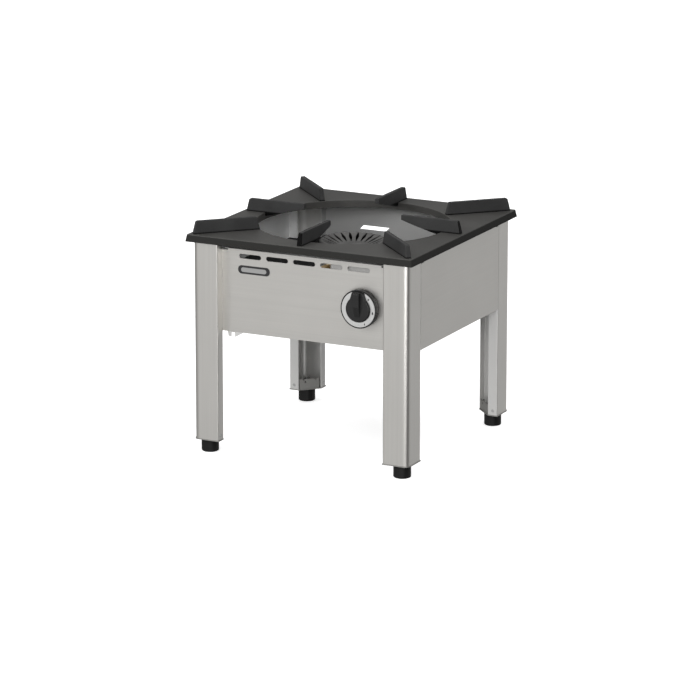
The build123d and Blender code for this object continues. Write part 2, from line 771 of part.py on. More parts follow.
# ---------------------------------------------------------------- injector and its bracket
with BuildPart() as injector:
    with BuildSketch(front_view(injector_back + injector_hex_length, 0, venturi_level)):
        Circle(injector_radius)
    extrude(amount=injector_back + injector_hex_length - injector_tip)
    with BuildSketch(front_view(injector_back + injector_hex_length, 0, venturi_level)):
        hexagon(injector_hex)
    extrude(amount=injector_hex_length)
    with BuildSketch(front_view(injector_back, 0, venturi_level)):
        Circle(burner_pipe_bore)
    extrude(amount=-(injector_length - injector_nose), mode=Mode.SUBTRACT)
    with BuildSketch(front_view(injector_tip, 0, venturi_level)):
        Circle(jet_radius)
    extrude(amount=injector_nose, mode=Mode.SUBTRACT)
save(injector.part, "injector")

with BuildPart() as injector_bracket:
    bracket_top = venturi_level + injector_hex / 2 + bracket_margin
    bracket_front = bracket_back - bracket_sheet
    with BuildSketch(front_view(bracket_back, 0, deck_level)):
        with Locations((0, (bracket_top - deck_level) / 2)):
            Rectangle(bracket_width, bracket_top - deck_level)
    extrude(amount=bracket_sheet)
    with BuildSketch(level(deck_level, 0, bracket_back)):
        with Locations((0, -bracket_foot / 2)):
            Rectangle(bracket_width, bracket_foot)
    extrude(amount=bracket_sheet)
    with BuildSketch(front_view(bracket_back, 0, venturi_level)):
        Circle(injector_radius + running_gap)
    extrude(amount=bracket_sheet, mode=Mode.SUBTRACT)
save(injector_bracket.part, "injector_bracket")

# ---------------------------------------------------------------- gas tap
with BuildPart() as tap_body:
    with BuildSketch(front_view(tap_front, tap_right, tap_level)):
        RectangleRounded(tap_flange_width, tap_flange_height, tap_flange_corner)
    extrude(amount=-tap_flange_thick)
    with BuildSketch(front_view(tap_front, tap_right, tap_level)):
        Circle(tap_radius)
    extrude(amount=-tap_length)
    # outlet to the burner, on the left
    with BuildSketch(right_view(tap_right, boss_back, tap_level)):
        Circle(boss_radius)
    extrude(amount=-boss_length)
    # sensor and pilot bosses, below
    for boss_shift in (-pilot_spread / 2, pilot_spread / 2):
        with BuildSketch(level(boss_bottom, tap_right, boss_back + boss_shift)):
            Circle((pilot_spread - tap_boss_gap) / 2)
        extrude(amount=tap_level - boss_bottom)
    # tapered seat of the plug, with a way through for the spindle and the gas
    with BuildSketch(front_view(tap_front + plug_start, tap_right, tap_level)):
        Circle(plug_front + running_gap)
    with BuildSketch(front_view(tap_front + plug_start + plug_length, tap_right, tap_level)):
        Circle(plug_rear + running_gap)
    loft(mode=Mode.SUBTRACT)
    with BuildSketch(front_view(tap_front, tap_right, tap_level)):
        Circle(plug_front + running_gap)
    extrude(amount=-plug_start, mode=Mode.SUBTRACT)
    with BuildSketch(front_view(tap_end, tap_right, tap_level)):
        Circle(pipe_bore)
    extrude(amount=tap_length - plug_start, mode=Mode.SUBTRACT)
    with BuildSketch(right_view(tap_right - boss_length, boss_back, tap_level)):
        Circle(burner_pipe_bore)
    extrude(amount=boss_length - tap_radius / 2, mode=Mode.SUBTRACT)
    with BuildSketch(front_view(tap_front, tap_right, tap_level)):
        with GridLocations(tap_screw_spread, 0, 2, 1):
            Circle(tap_screw + thread_gap)
    extrude(amount=-tap_flange_thick, mode=Mode.SUBTRACT)
save(tap_body.part, "tap_body")


def d_section(radius, flat):
    """Round section with one flat, the flat at the top."""
    Circle(radius)
    with Locations((0, flat + radius / 2)):
        Rectangle(2 * radius, radius, mode=Mode.SUBTRACT)


with BuildPart() as tap_plug:
    with BuildSketch(front_view(tap_front + plug_start, tap_right, tap_level)):
        Circle(plug_front)
    with BuildSketch(front_view(tap_front + plug_start + plug_length, tap_right, tap_level)):
        Circle(plug_rear)
    loft()
    # the spindle slides and turns the plug in a D-shaped hole
    with BuildSketch(front_view(tap_front + plug_start, tap_right, tap_level)):
        d_section(spindle_radius + running_gap, spindle_flat + running_gap)
    extrude(amount=-(plug_length - plug_end_wall), mode=Mode.SUBTRACT)
save(tap_plug.part, "tap_plug")

with BuildPart() as tap_bonnet:
    with BuildSketch(front_view(tap_front, tap_right, tap_level)):
        Circle(plug_front)
        Circle(spindle_radius + running_gap, mode=Mode.SUBTRACT)
    extrude(amount=-(plug_start - seam))
save(tap_bonnet.part, "tap_bonnet")

spindle_front = knob_back - knob_skirt / 2
spindle_back = tap_front + plug_start + plug_length - plug_end_wall - push_travel - push_spare
with BuildPart() as spindle:
    with BuildSketch(front_view(spindle_front, tap_right, tap_level)):
        d_section(spindle_radius, spindle_flat)
    extrude(amount=spindle_front - spindle_back)
save(spindle.part, "tap_spindle")

with BuildPart() as tap_screws:
    for side in (-tap_screw_spread / 2, tap_screw_spread / 2):
        with BuildSketch(front_view(front_face, tap_right + side, tap_level)):
            Circle(tap_screw)
        extrude(amount=-(panel_sheet + tap_flange_thick + screw_tail))
        with BuildSketch(front_view(front_face, tap_right + side, tap_level)):
            Circle(tap_screw_head)
        extrude(amount=tap_screw_head_height, taper=25)
save(tap_screws.part, "tap_screws")

# ---------------------------------------------------------------- knob
ring_plane = knob_front + ring_thick       # the ring lies here, in a shallow recess
ring_outer = knob_radius - ring_border


def grip_outline(margin):
    """Round grip with a neck that runs up to the border."""
    Circle(grip_radius + margin)
    root = sqrt(grip_radius**2 - neck_root**2)
    Polygon(
        (-neck_root - margin, root), (neck_root + margin, root),
        (neck_tip + margin, ring_outer), (-neck_tip - margin, ring_outer), align=None,
    )


with BuildPart() as knob:
    with BuildSketch(front_view(knob_back, tap_right, tap_level)):
        Circle(knob_radius)
    extrude(amount=knob_skirt - ring_thick)
    # hollow back with a boss for the spindle
    with BuildSketch(front_view(knob_back, tap_right, tap_level)):
        Circle(knob_radius - knob_wall)
        Circle(knob_boss, mode=Mode.SUBTRACT)
    extrude(amount=knob_skirt - ring_thick - knob_wall, mode=Mode.SUBTRACT)
    # raised border round the ring
    with BuildSketch(front_view(ring_plane, tap_right, tap_level)):
        Circle(knob_radius)
        Circle(ring_outer, mode=Mode.SUBTRACT)
    extrude(amount=ring_thick)
    fillet(knob.faces().sort_by(Axis.Y)[0].edges(), ring_thick * 0.6)
    # grip, then the ridge that points to the mark
    with BuildSketch(front_view(ring_plane, tap_right, tap_level)):
        grip_outline(0)
        Circle(ring_outer, mode=Mode.INTERSECT)
    extrude(amount=ring_thick + grip_rise, taper=grip_draft)
    fillet(knob.faces().sort_by(Axis.Y)[0].edges(), grip_edge)
    ridge_front = knob_front - ridge_rise
    grip_front = knob_front - grip_rise
    with BuildPart(mode=Mode.PRIVATE) as ridge:
        with BuildSketch(right_view(tap_right, 0, tap_level)):
            Polygon(
                (ring_plane, ring_outer - grip_edge), (ridge_front, ring_outer - ridge_edge - grip_edge),
                (ridge_front, ridge_full), (grip_front, -ridge_low), (ring_plane, -ridge_low), align=None,
            )
        extrude(amount=ridge_width / 2, both=True)
        fillet(ridge.edges().filter_by(Axis.X).sort_by(Axis.Y)[:2], 2 * ridge_edge)
    add(ridge.part)
    with BuildSketch(front_view(knob_back, tap_right, tap_level)):
        d_section(spindle_radius + running_gap, spindle_flat + running_gap)
    extrude(amount=knob_skirt / 2, mode=Mode.SUBTRACT)
save(knob.part, "knob")

with BuildPart() as knob_ring:
    with BuildSketch(front_view(ring_plane, tap_right, tap_level)):
        Circle(ring_outer - running_gap)
        with BuildSketch(mode=Mode.PRIVATE) as grip_hole:
            grip_outline(running_gap)
        add(grip_hole.sketch, mode=Mode.SUBTRACT)
    extrude(amount=ring_thick)
save(knob_ring.part, "knob_ring")

# ---------------------------------------------------------------- gas inlet and pipes
supply_back = body_half - panel_sheet - inlet_plate_thick - inlet_hex_length
with BuildPart() as inlet:
    with BuildSketch(front_view(body_half + seam, tap_right, tap_level)):
        Circle(inlet_radius)
    extrude(amount=-(top_half - body_half - seam))
    with BuildSketch(front_view(body_half + seam, tap_right, tap_level)):
        Circle(inlet_shank)
    extrude(amount=body_half + seam - supply_back)
    with BuildSketch(front_view(supply_back + inlet_hex_length, tap_right, tap_level)):
        hexagon(inlet_hex)
    extrude(amount=inlet_hex_length)
    with BuildSketch(front_view(top_half, tap_right, tap_level)):
        Circle(inlet_bore)
    extrude(amount=top_half - supply_back, mode=Mode.SUBTRACT)
save(inlet.part, "gas_inlet")

with BuildPart() as inlet_plate:
    with BuildSketch(front_view(body_half - panel_sheet, tap_right, tap_level)):
        RectangleRounded(inlet_plate_side, inlet_plate_side, inlet_plate_corner)
        Circle(inlet_shank + running_gap, mode=Mode.SUBTRACT)
    extrude(amount=inlet_plate_thick)
save(inlet_plate.part, "inlet_plate")

with BuildPart() as supply_pipe:
    with BuildSketch(front_view(supply_back, tap_right, tap_level)):
        Circle(pipe_radius)
        Circle(pipe_bore, mode=Mode.SUBTRACT)
    extrude(amount=supply_back - tap_end)
save(supply_pipe.part, "supply_pipe")

boss_tip = tap_right - boss_length
with BuildPart() as burner_pipe:
    with BuildLine() as burner_route:
        FilletPolyline(
            (boss_tip, boss_back, tap_level), injector_pipe_low, injector_pipe_high,
            (0, injector_back, venturi_level), radius=pipe_bend,
        )
    with BuildSketch(right_view(boss_tip, boss_back, tap_level)):
        Circle(burner_pipe_radius)
        Circle(burner_pipe_bore, mode=Mode.SUBTRACT)
    sweep()
save(burner_pipe.part, "burner_pipe")

# union nuts at the pipe ends
with BuildPart() as pipe_nuts:
    for face_y, toward in ((tap_end, -1), (supply_back, 1)):
        with BuildSketch(front_view(face_y, tap_right, tap_level)):
            hexagon(pipe_nut_width)
            Circle(pipe_radius + thread_gap, mode=Mode.SUBTRACT)
        extrude(amount=toward * pipe_nut_height)
    with BuildSketch(right_view(boss_tip, boss_back, tap_level)):
        hexagon(pipe_nut_width)
        Circle(burner_pipe_radius + thread_gap, mode=Mode.SUBTRACT)
    extrude(amount=-pipe_nut_height)
    with BuildSketch(front_view(injector_back, 0, venturi_level)):
        hexagon(injector_hex)
        Circle(burner_pipe_radius + thread_gap, mode=Mode.SUBTRACT)
    extrude(amount=pipe_nut_height)
save(pipe_nuts.part, "pipe_nuts")

# ---------------------------------------------------------------- pilot burner and flame sensor
pilot_plate_top = deck_level + pilot_plate_rise
pilot_y = -pilot_front
pilot_plate_width = pilot_spread + 2 * pilot_plate_margin
pilot_plate_front = pilot_y - sensor_tip - pilot_plate_gap
with BuildPart() as pilot_plate:
    plate_middle = pilot_right + pilot_spread / 2
    with BuildSketch(front_view(pilot_plate_front, plate_middle, deck_level)):
        with Locations((0, pilot_plate_rise / 2)):
            Rectangle(pilot_plate_width, pilot_plate_rise)
    extrude(amount=pilot_plate_sheet)
    with BuildSketch(level(pilot_plate_top - pilot_plate_sheet, plate_middle, pilot_y)):
        Rectangle(pilot_plate_width, 2 * (sensor_tip + pilot_plate_gap))
        with Locations((-pilot_spread / 2, 0)):
            Circle(pilot_tube + running_gap, mode=Mode.SUBTRACT)
        with Locations((pilot_spread / 2, 0)):
            Circle(sensor_tube + running_gap, mode=Mode.SUBTRACT)
    extrude(amount=pilot_plate_sheet)
    with BuildSketch(level(deck_level, plate_middle, pilot_plate_front - pilot_plate_sheet)):
        with Locations((0, -pilot_plate_foot / 2)):
            Rectangle(pilot_plate_width, pilot_plate_foot)
    extrude(amount=pilot_plate_sheet)
save(pilot_plate.part, "pilot_bracket")

with BuildPart() as pilot_burner:
    with BuildSketch(level(pilot_plate_top, pilot_right, pilot_y)):
        Circle(pilot_head)
    extrude(amount=pilot_head_height)
    with BuildSketch(level(pilot_plate_top + pilot_head_height, pilot_right, pilot_y)):
        Circle(pilot_head - pilot_wall)
    extrude(amount=-pilot_bore_depth, mode=Mode.SUBTRACT)
    pilot_hole_level = pilot_plate_top + pilot_head_height - pilot_hole_below
    with BuildSketch(front_view(pilot_y, pilot_right, pilot_hole_level)):
        Circle(pilot_hole)
    extrude(amount=pilot_head, both=True, mode=Mode.SUBTRACT)
save(pilot_burner.part, "pilot_burner")


def thin_tube(radius, x, boss_y, top, low):
    """Thin tube from a boss under the tap, below the deck and up to the pilot group."""
    start = (tap_right, boss_y, boss_bottom)
    with BuildPart() as tube:
        with BuildLine():
            FilletPolyline(
                start, (tap_right, boss_y, low), (x, pilot_y, low), (x, pilot_y, top), radius=lead_bend,
            )
        with BuildSketch(level(start[2], start[0], start[1])):
            Circle(radius)
        sweep()
    return tube


pilot_pipe = thin_tube(pilot_tube, pilot_right, boss_back + pilot_spread / 2, pilot_plate_top, lead_level)
save(pilot_pipe.part, "pilot_pipe")

sensor_x = pilot_right + pilot_spread
with BuildPart() as sensor:
    add(thin_tube(
        sensor_tube, sensor_x, boss_back - pilot_spread / 2, pilot_plate_top, lead_level - 3 * pilot_tube,
    ).part)
    with BuildSketch(level(pilot_plate_top, sensor_x, pilot_y)):
        Circle(sensor_tip)
    extrude(amount=sensor_tip_length)
    fillet(sensor.edges().group_by(Axis.Z)[-1], sensor_tip * 0.6)
save(sensor.part, "flame_sensor")

# ---------------------------------------------------------------- top plate
corner_rest_screws_at = [corner_rest_outer - inset for inset in corner_rest_screws_in]
side_rest_screw_at = side_rest_outer - side_rest_screw_in
corner_reach = [(reach, 45.0 + 90.0 * step) for reach in corner_rest_screws_at for step in range(4)]
side_reach = [(side_rest_screw_at, 90.0 * step) for step in range(4)]
rest_screw_spots = [
    (reach * cos(radians(angle)), reach * sin(radians(angle))) for reach, angle in corner_reach + side_reach
]

with BuildPart() as top_plate:
    with BuildSketch(level(top_height)):
        RectangleRounded(2 * plate_half, 2 * plate_half, rim_corner)
    with BuildSketch(level(top_height - rim_drop)):
        RectangleRounded(2 * top_half, 2 * top_half, rim_corner)
    loft()
    fillet(top_plate.edges().group_by(Axis.Z)[-1], edge_round)
    # underside between rim and collar
    inner_top = plate_half + rim_draft * plate_wall / rim_drop - plate_wall
    with BuildSketch(level(plate_under)):
        Rectangle(2 * inner_top, 2 * inner_top)
    with BuildSketch(level(top_height - rim_drop)):
        Rectangle(2 * (top_half - plate_wall), 2 * (top_half - plate_wall))
    loft(mode=Mode.SUBTRACT)
    with BuildSketch(level(plate_under)):
        Circle(hole_radius + plate_wall)
    extrude(amount=-(collar_drop - plate_wall))
    with BuildSketch(level(top_height)):
        Circle(hole_radius)
    extrude(amount=-rim_drop, mode=Mode.SUBTRACT)
    hole_edge = top_plate.edges().filter_by(GeomType.CIRCLE).group_by(Axis.Z)[-1].sort_by(SortBy.RADIUS)[-1]
    fillet(hole_edge, edge_round)
    # screw holes of the pot rests
    with BuildSketch(level(top_height)):
        with Locations(*rest_screw_spots):
            Circle(rest_screw + hole_gap)
    extrude(amount=-plate_wall, mode=Mode.SUBTRACT)
save(top_plate.part, "top_plate")

with BuildPart() as rest_screws:
    for spot in rest_screw_spots:
        with BuildSketch(level(plate_under, *spot)):
            Circle(rest_screw)
        extrude(amount=plate_wall + rest_screw_bite)
        with BuildSketch(level(plate_under, *spot)):
            hexagon(2 * rest_screw_head)
        extrude(amount=-rest_screw_head_height)
save(rest_screws.part, "rest_screws")


# ---------------------------------------------------------------- pot rests
def high_and_far(edge):
    """Greatest for the outermost of the upper edges."""
    middle = edge.center()
    return middle.Z + sqrt(middle.X**2 + middle.Y**2) / 5


def pot_rest(angle, outline, screws):
    """Cast radial rest on the plate: an upright profile, thinner towards its crest."""
    out = (cos(radians(angle)), sin(radians(angle)), 0)
    left = (-out[1], out[0], 0)
    side_on = Plane(origin=(0, 0, top_height), x_dir=out, z_dir=(out[1], -out[0], 0))
    end_on = Plane(origin=(0, 0, top_height), x_dir=left, z_dir=out)
    with BuildPart() as rest:
        with BuildSketch(side_on):
            with BuildLine():
                outline()
            make_face()
        extrude(amount=rest_base, both=True)
        crest = rest.edges().filter_by(Plane(side_on.origin, z_dir=side_on.z_dir), reverse=True)
        fillet(max(crest, key=high_and_far), rest_corner)
        # taper of the cast section
        low, high = -side_rest_hook - 1.0, rest_height
        lean = (rest_base - rest_crest) / 2 / rest_height
        base_half = rest_base / 2 - lean * low
        crest_half = rest_crest / 2
        with BuildSketch(end_on):
            Polygon(
                (-base_half, low), (base_half, low), (crest_half, high), (-crest_half, high), align=None,
            )
        extrude(amount=corner_rest_outer, mode=Mode.INTERSECT)
        fillet(rest.edges().group_by(Axis.Z)[-1], rest_edge)
        for reach in screws:
            with BuildSketch(level(top_height, reach * out[0], reach * out[1])):
                Circle(rest_screw + thread_gap)
            extrude(amount=rest_screw_bite + seam, mode=Mode.SUBTRACT)
    return rest.part


def corner_outline():
    """Corner rest, radius against height above the plate."""
    Polyline(
        (corner_rest_inner, 0), (corner_rest_outer, 0), (corner_rest_outer - rest_lean, rest_height),
        (corner_rest_inner + corner_rest_slope, rest_height), close=True,
    )


def side_outline():
    """Side rest: lies on the plate, hooks over the opening's edge and tapers to a tip over the burner."""
    hook = hole_radius - hole_gap
    heel = hook - side_rest_hook_width
    tip = (side_rest_tip, rest_height - side_rest_tip_depth)
    bow = ((heel + tip[0]) / 2, (tip[1] - side_rest_hook) / 2 - side_rest_sag)
    Polyline(
        (heel, -side_rest_hook), (hook, -side_rest_hook), (hook, 0), (side_rest_outer, 0),
        (side_rest_outer - rest_lean, rest_height), (side_rest_tip, rest_height), tip,
    )
    ThreePointArc(tip, bow, (heel, -side_rest_hook))


for name, angle in (("right", 0), ("rear", 90), ("left", 180), ("front", 270)):
    save(pot_rest(angle, side_outline, (side_rest_screw_at,)), f"pot_rest_{name}")

for corner, angle in zip(CORNERS, (225, 315, 45, 135)):
    save(pot_rest(angle, corner_outline, corner_rest_screws_at), f"pot_rest_{corner}")
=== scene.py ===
from math import cos, pi, radians, sin

import bmesh
import bpy
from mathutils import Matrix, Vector


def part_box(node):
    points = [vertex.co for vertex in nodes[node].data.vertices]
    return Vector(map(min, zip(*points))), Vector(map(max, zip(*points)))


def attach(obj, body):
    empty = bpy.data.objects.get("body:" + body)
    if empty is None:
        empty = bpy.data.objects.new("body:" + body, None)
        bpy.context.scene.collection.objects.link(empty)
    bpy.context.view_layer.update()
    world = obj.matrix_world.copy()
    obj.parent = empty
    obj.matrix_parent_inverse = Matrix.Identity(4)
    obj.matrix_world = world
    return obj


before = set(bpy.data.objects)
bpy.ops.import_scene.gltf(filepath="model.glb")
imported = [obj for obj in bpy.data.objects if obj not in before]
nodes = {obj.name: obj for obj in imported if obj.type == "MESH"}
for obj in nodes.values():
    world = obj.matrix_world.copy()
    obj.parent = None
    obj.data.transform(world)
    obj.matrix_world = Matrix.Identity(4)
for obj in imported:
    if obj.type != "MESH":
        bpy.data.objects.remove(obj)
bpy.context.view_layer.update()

scene = bpy.context.scene
scene.view_settings.view_transform = "Standard"
scene.view_settings.look = "None"

# ---------------------------------------------------------------- sizes in metres
# of the CAD pieces, where a look changes on them
PLATE_TOP = 0.4500         # upper face of the top plate
RIM_REACH = 0.2400         # the top's rim lies farther out than this
RIM_DROP = 0.0010          # and lower than this under the plate's upper face
REST_TOP = 0.4760          # upper edge of the pot rests
REST_WEAR_AND_SHEEN = 0.0015         # height of the strip along that edge that is lighter: scuffed by pots, and a painted highlight
REST_END = 0.2400          # how far out the side rests reach, at the plate
REST_LEAN = 6.0 / 26.0     # how much their outer end leans in for its height
CROWN_CONE = ((0.034, 0.4025), (0.064, 0.4140))   # (radius, level) at the cone's foot and at its rim
HALF_SHEET = 0.0006        # from a panel's outer face to the middle of its sheet
DECK_MARGIN = 0.0008       # from the deck's front edge to the middle of the front panel's sheet
FAR = 1.0                  # well outside the range

# of the places where one tone runs into another
WEAR_AND_SHEEN_FADE = 0.002              # height over which the wear and the painted highlight set in
FOOT_SHADE_FADE = (0.0010, 0.0032)  # over the plate: full painted shade up to the first height, none from the second
END_SHADE_FADE = (0.0016, 0.0008)    # inside the rests' outer end: painted shade begins, painted shade is full
RIM_SHADE_FADE = 0.0006              # height over which the rim turns darker with painted shade, and matt
CONE_SHADE_FADE = (0.0004, 0.0030)   # below the crown's cone: painted shade begins, painted shade is full

# of the pieces made here
FIELD_SHARE = (0.80, 0.54)     # the badge's field, as shares of the badge's width and height
FIELD_THICK = 0.0003
FIELD_BEVEL = 0.0001
SHIELD_SIDES = (0.057, 0.172)  # left and right end of the plate behind the two right slots
SHIELD_BACK = 0.0185           # from the front panel's outer face to the plate
SHIELD_FOOT = 0.0115           # depth of the plate's foot
SHIELD_SHEET = 0.0012
SHIELD_LIFT = 0.0001           # clearance over the deck
SHIELD_DROP = 0.004            # from the front panel's upper edge down to the plate's
MARK_INSET = 0.0048            # from the outer edge of the knob's ring to the middle of its marks
MARK_THICK = 0.00012


# ---------------------------------------------------------------- material helpers
SOCKETS = {"metal": "Metallic", "rough": "Roughness", "spec": "Specular IOR Level"}
COLOR_A, COLOR_B, COLOR_OUT = 6, 7, 2     # sockets of a mix node that is set to colours
FOOT_SHADE_BLACK = (0.003, 0.003, 0.003)
END_SHADE_BLACK = (0.004, 0.004, 0.004)
CONE_SHADE_BLACK = (0.006, 0.006, 0.006)


def shade(tone, factor):
    """The tone, darker or lighter by a factor."""
    return tuple(c * factor for c in tone)


class Mat:
    """Small builder for a node material round one Principled shader."""

    def __init__(self, name, **values):
        self.mat = bpy.data.materials.new(name)
        self.mat.use_nodes = True
        self.tree = self.mat.node_tree
        self.shader = self.tree.nodes["Principled BSDF"]
        for key, value in values.items():
            self.shader.inputs[SOCKETS[key]].default_value = value
        self.coord = self.node("ShaderNodeTexCoord").outputs["Object"]

    def node(self, kind, **props):
        n = self.tree.nodes.new(kind)
        for key, value in props.items():
            setattr(n, key, value)
        return n

    def link(self, a, b):
        self.tree.links.new(a, b)

    def axes(self):
        """The point's x, y and z."""
        split = self.node("ShaderNodeSeparateXYZ")
        self.link(self.coord, split.inputs[0])
        return tuple(split.outputs)

    def noise(self, scale, stretch=(1, 1, 1), detail=3.0, rough=0.5):
        """Noise between 0 and 1. Along an axis with a larger stretch it changes faster."""
        mapping = self.node("ShaderNodeMapping")
        mapping.inputs["Scale"].default_value = stretch
        self.link(self.coord, mapping.inputs["Vector"])
        n = self.node("ShaderNodeTexNoise")
        n.inputs["Scale"].default_value = scale
        n.inputs["Detail"].default_value = detail
        n.inputs["Roughness"].default_value = rough
        self.link(mapping.outputs["Vector"], n.inputs["Vector"])
        return n.outputs["Fac"]

    def remap(self, value, low, high, to_low=0, to_high=1):
        """The value, with the range low to high stretched to another one and cut off at its ends."""
        r = self.node("ShaderNodeMapRange")
        for key, v in (("From Min", low), ("From Max", high), ("To Min", to_low), ("To Max", to_high)):
            r.inputs[key].default_value = v
        self.link(value, r.inputs["Value"])
        return r.outputs["Result"]

    def math(self, op, a, b=None):
        m = self.node("ShaderNodeMath", operation=op)
        for i, v in enumerate((a, b)):
            if v is None:
                continue
            if isinstance(v, (int, float)):
                m.inputs[i].default_value = v
            else:
                self.link(v, m.inputs[i])
        return m.outputs[0]

    def blend(self, a, share, b):
        """A share of the first value and the rest of the second."""
        return self.math("ADD", self.math("MULTIPLY", a, share), self.math("MULTIPLY", b, 1.0 - share))

    def length(self, a, b):
        """Distance of the point (a, b) from zero."""
        squares = self.math("ADD", self.math("MULTIPLY", a, a), self.math("MULTIPLY", b, b))
        return self.math("POWER", squares, 0.5)

    def farther(self, a, b):
        """The larger of two values, both without their sign."""
        return self.math("MAXIMUM", self.math("ABSOLUTE", a), self.math("ABSOLUTE", b))

    def mix(self, fac, a, b):
        m = self.node("ShaderNodeMix", data_type="RGBA")
        self.link(fac, m.inputs["Factor"])
        for key, v in ((COLOR_A, a), (COLOR_B, b)):
            if isinstance(v, tuple):
                m.inputs[key].default_value = (*v, 1.0)
            else:
                self.link(v, m.inputs[key])
        return m.outputs[COLOR_OUT]

    def mottle(self, value, tone, dark, light):
        """The tone times the factor dark where the value is low, and times light where it is high."""
        return self.mix(self.remap(value, 0.3, 0.7), shade(tone, dark), shade(tone, light))

    def color(self, out):
        self.link(out, self.shader.inputs["Base Color"])

    def rough(self, out):
        self.link(out, self.shader.inputs["Roughness"])

    def bump(self, height, strength, distance):
        b = self.node("ShaderNodeBump")
        b.inputs["Strength"].default_value = strength
        b.inputs["Distance"].default_value = distance
        self.link(height, b.inputs["Height"])
        self.link(b.outputs["Normal"], self.shader.inputs["Normal"])


def brushed(name, tone, rough, across, line=1.0, bump=0.10, inside=None, lining=(0.9, 0.9, 0.895), dull=0.9):
    """Brushed stainless steel. across is 1 for the axes across the grain, and line makes the grain finer.
    inside gives the box (x, front y, back y) within which the sheet's unpolished back shows, in the
    lining's tone and as dull as dull says."""
    m = Mat(name, metal=1.0, rough=rough)
    fine = m.noise(1.0, tuple(900 * line if a else 6 for a in across), detail=4, rough=0.6)
    broad = m.noise(1.0, tuple(160 * line if a else 2 for a in across), detail=2)
    cloud = m.noise(7.0, detail=3)
    grain = m.blend(fine, 0.6, broad)
    tint = m.mottle(m.blend(grain, 0.7, cloud), tone, 0.912, 1.056)
    if inside is not None:
        x, y, _ = m.axes()
        reach_x, front, back = inside
        within = m.math("LESS_THAN", m.math("ABSOLUTE", x), reach_x)
        within = m.math("MULTIPLY", within, m.math("GREATER_THAN", y, front))
        within = m.math("MULTIPLY", within, m.math("LESS_THAN", y, back))
        tint = m.mix(within, tint, m.mix(m.remap(cloud, 0.35, 0.65), lining, shade(lining, 0.93)))
        m.link(m.math("SUBTRACT", 1.0, m.math("MULTIPLY", within, dull)), m.shader.inputs["Metallic"])
    m.color(tint)
    m.rough(m.remap(grain, 0.25, 0.75, rough - 0.06, rough + 0.09))
    m.bump(fine, bump, 0.00025)
    return m.mat


def enamel(name, tone, rough, spec, wear_and_sheen_above=None, foot=None, end=None, shaded_rim=None):
    """Satin black enamel: slight orange peel, fine pits, dusty tone changes.
    wear_and_sheen_above gives the level above which it is lighter: scuffed by pots, and a painted highlight.
    foot gives the level of the plate it stands on, along which shade is painted black in the corner.
    end gives how far out that foot reaches and how much it leans in for its height: its end face is painted
    black as shade.
    shaded_rim gives a level and a distance from the middle: below the one and beyond the other it is
    darkened with painted shade, and matt."""
    m = Mat(name, rough=rough, spec=spec)
    peel = m.noise(420, detail=2)
    pits = m.noise(1500, detail=2, rough=0.7)
    cloud = m.noise(14, detail=4)
    base = m.mottle(cloud, tone, 0.82, 1.18)
    if wear_and_sheen_above is not None:
        near_top = m.remap(m.axes()[2], wear_and_sheen_above, wear_and_sheen_above + WEAR_AND_SHEEN_FADE)
        scuff_and_sheen = m.remap(m.noise(90, detail=6, rough=0.7), 0.48, 0.72, 0, 0.5)
        # lighter along the top edge: scuffs from pots, and a painted highlight on the crest
        base = m.mix(m.math("MULTIPLY", near_top, scuff_and_sheen), base, tuple(c * 2.4 + 0.01 for c in tone))
    if foot is not None:
        x, y, z = m.axes()
        # painted shade: black along the foot of the rest, where it meets the plate
        base = m.mix(m.remap(z, foot + FOOT_SHADE_FADE[0], foot + FOOT_SHADE_FADE[1]), FOOT_SHADE_BLACK, base)
        if end is not None:
            reach, lean = end
            out = m.math("ADD", m.farther(x, y), m.math("MULTIPLY", m.math("SUBTRACT", z, foot), lean))
            # painted shade: the outer end face of the rest is turned black
            base = m.mix(m.remap(out, reach - END_SHADE_FADE[0], reach - END_SHADE_FADE[1]), base, END_SHADE_BLACK)
    gloss = m.remap(cloud, 0.3, 0.7, rough - 0.05, rough + 0.08)
    if shaded_rim is not None:
        level, reach = shaded_rim
        x, y, z = m.axes()
        below = m.math("MULTIPLY", m.remap(z, level - RIM_SHADE_FADE, level, 1, 0),
                       m.math("GREATER_THAN", m.farther(x, y), reach))
        # painted shade: the rim below the plate's upper face is darkened
        base = m.mix(below, base, shade(tone, 0.42))
        gloss = m.math("MAXIMUM", gloss, m.math("MULTIPLY", below, 0.95))
    m.color(base)
    m.rough(gloss)
    m.bump(m.blend(peel, 0.7, pits), 0.22, 0.0005)
    return m.mat


def casting(name, tone, rough, metal, shade_cone=None):
    """Raw casting: coarse sand texture with a little heat tint.
    soot gives a cone, (radius, level) at its foot and at its rim: what lies below it is painted black as
    shade."""
    m = Mat(name, metal=metal, rough=rough)
    sand = m.noise(900, detail=5, rough=0.7)
    lumps = m.noise(160, detail=3)
    cloud = m.noise(25, detail=4)
    base = m.mottle(cloud, tone, 0.7, 1.25)
    if shade_cone is not None:
        (foot, foot_level), (rim, rim_level) = shade_cone
        x, y, z = m.axes()
        depth = m.math("SUBTRACT", m.remap(m.length(x, y), foot, rim, foot_level, rim_level), z)
        # painted shade: black under the crown's cone
        base = m.mix(m.remap(depth, *CONE_SHADE_FADE), base, CONE_SHADE_BLACK)
    m.color(base)
    m.rough(m.remap(sand, 0.3, 0.7, rough - 0.1, rough + 0.1))
    m.bump(m.blend(sand, 0.5, lumps), 0.5, 0.0008)
    return m.mat


def turned(name, tone, rough):
    """Machined metal with fine turning marks and a little tarnish."""
    m = Mat(name, metal=1.0, rough=rough)
    marks = m.noise(1.0, (500, 1600, 500), detail=3)
    cloud = m.noise(60, detail=4)
    m.color(m.mix(m.remap(cloud, 0.3, 0.75), tone, shade(tone, 0.72)))
    m.rough(m.remap(cloud, 0.3, 0.7, rough - 0.05, rough + 0.12))
    m.bump(marks, 0.15, 0.0003)
    return m.mat


